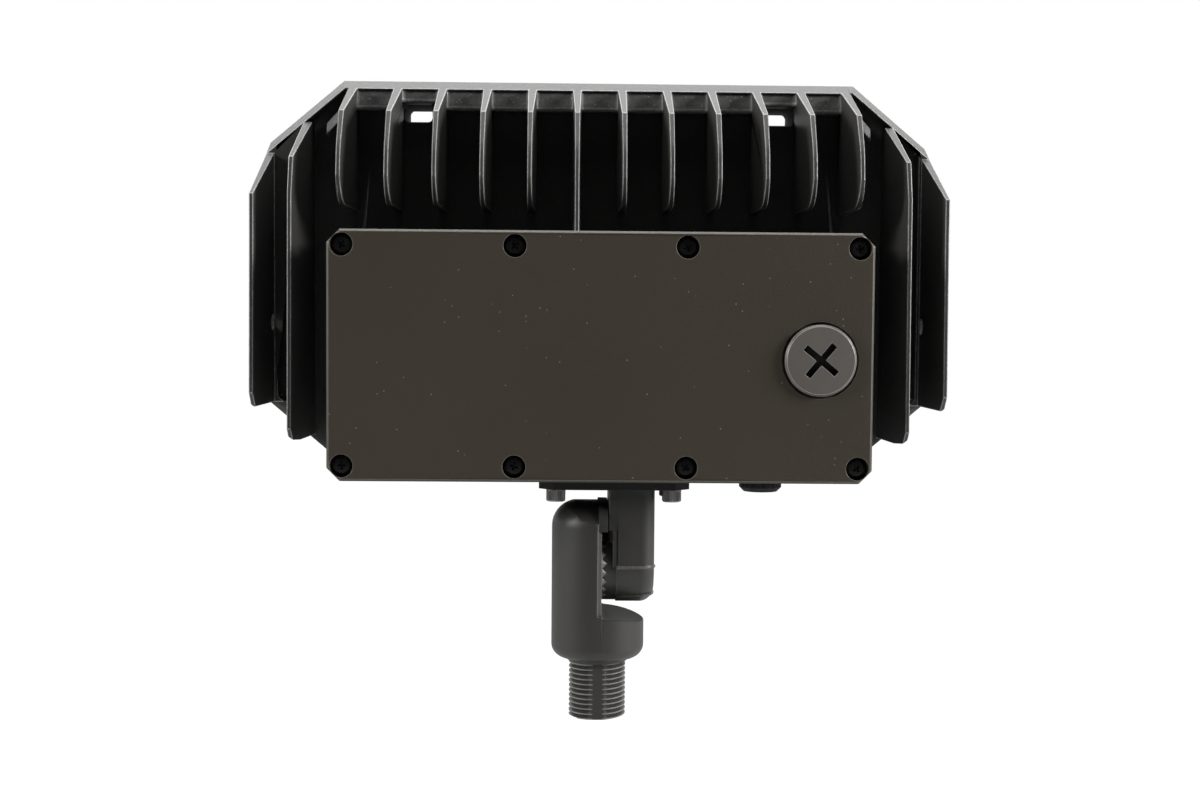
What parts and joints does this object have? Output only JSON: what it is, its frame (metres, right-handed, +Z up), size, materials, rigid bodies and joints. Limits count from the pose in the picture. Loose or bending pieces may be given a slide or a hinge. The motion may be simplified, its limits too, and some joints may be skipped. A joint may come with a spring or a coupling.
{
  "type": "led flood light",
  "caption": "Finned die-cast LED flood light head with a rear driver box, on a toothed swivel knuckle that ends in a threaded conduit nipple.",
  "frame": {"origin": "on the conduit nipple's axis, at the shoulder under the lower knuckle", "axes": "+Z up along the nipple's axis, +Y towards the lit side, +X to the right as seen from behind, along the clamp bolt"},
  "size_m": [0.2592, 0.0987, 0.2398],
  "materials": {
    "bronze_coat": "dark bronze powder coat, fine texture",
    "plug_coat": "worn bronze coat on a turned plug",
    "zinc_steel": "zinc plated",
    "black_steel": "black oxide",
    "black_rubber": "matt moulded rubber",
    "grey_silicone": "matt silicone",
    "vent_nylon": "matt moulded nylon",
    "driver_case": "satin case filled with resin",
    "lead_insulation": "satin insulation",
    "connector_shell": "moulded shell",
    "board_mask": "white solder mask",
    "chip_phosphor": "clear resin over phosphor",
    "white_reflector": "satin white",
    "clear_glass": "clear tempered"
  },
  "bodies": {
    "knuckle_base": {"lower_knuckle": "bronze_coat", "wire_seal": "black_rubber"},
    "clamp_washer": {"clamp_washer": "zinc_steel"},
    "clamp_bolt": {"clamp_bolt": "zinc_steel"},
    "head": {"upper_knuckle": "bronze_coat", "heatsink_housing": "bronze_coat", "rear_cover": "bronze_coat", "front_frame": "bronze_coat", "port_plug": "plug_coat", "flange_screws": "zinc_steel", "flange_washers": "zinc_steel", "driver_screws": "zinc_steel", "board_screws": "zinc_steel", "cover_screws": "black_steel", "frame_screws": "black_steel", "flange_gasket": "black_rubber", "plug_seal": "black_rubber", "vent_seal": "black_rubber", "cover_gasket": "grey_silicone", "glass_gasket": "grey_silicone", "vent_plug": "vent_nylon", "led_driver": "driver_case", "output_leads": "lead_insulation", "wire_connectors": "connector_shell", "led_board": "board_mask", "led_chips": "chip_phosphor", "reflector": "white_reflector", "front_glass": "clear_glass"}
  },
  "joints": [
    {"name": "clamp_release", "type": "slide", "parent": "knuckle_base", "child": "clamp_washer", "axis": [1, 0, 0], "range_m": [0, 0.0025]},
    {"name": "head_tilt", "type": "hinge", "parent": "clamp_washer", "child": "head", "pos_m": [0, 0, 0.0344], "axis": [1, 0, 0], "range_deg": [-90, 90]},
    {"name": "clamp_bolt_turn", "type": "hinge", "parent": "clamp_washer", "child": "clamp_bolt", "pos_m": [0, 0, 0.0344], "axis": [1, 0, 0], "range_deg": [0, 720]}
  ],
  "couplings": [
    {"joint": "clamp_bolt_turn", "follows": "clamp_release", "rad_per_m": 5026.5}
  ]
}
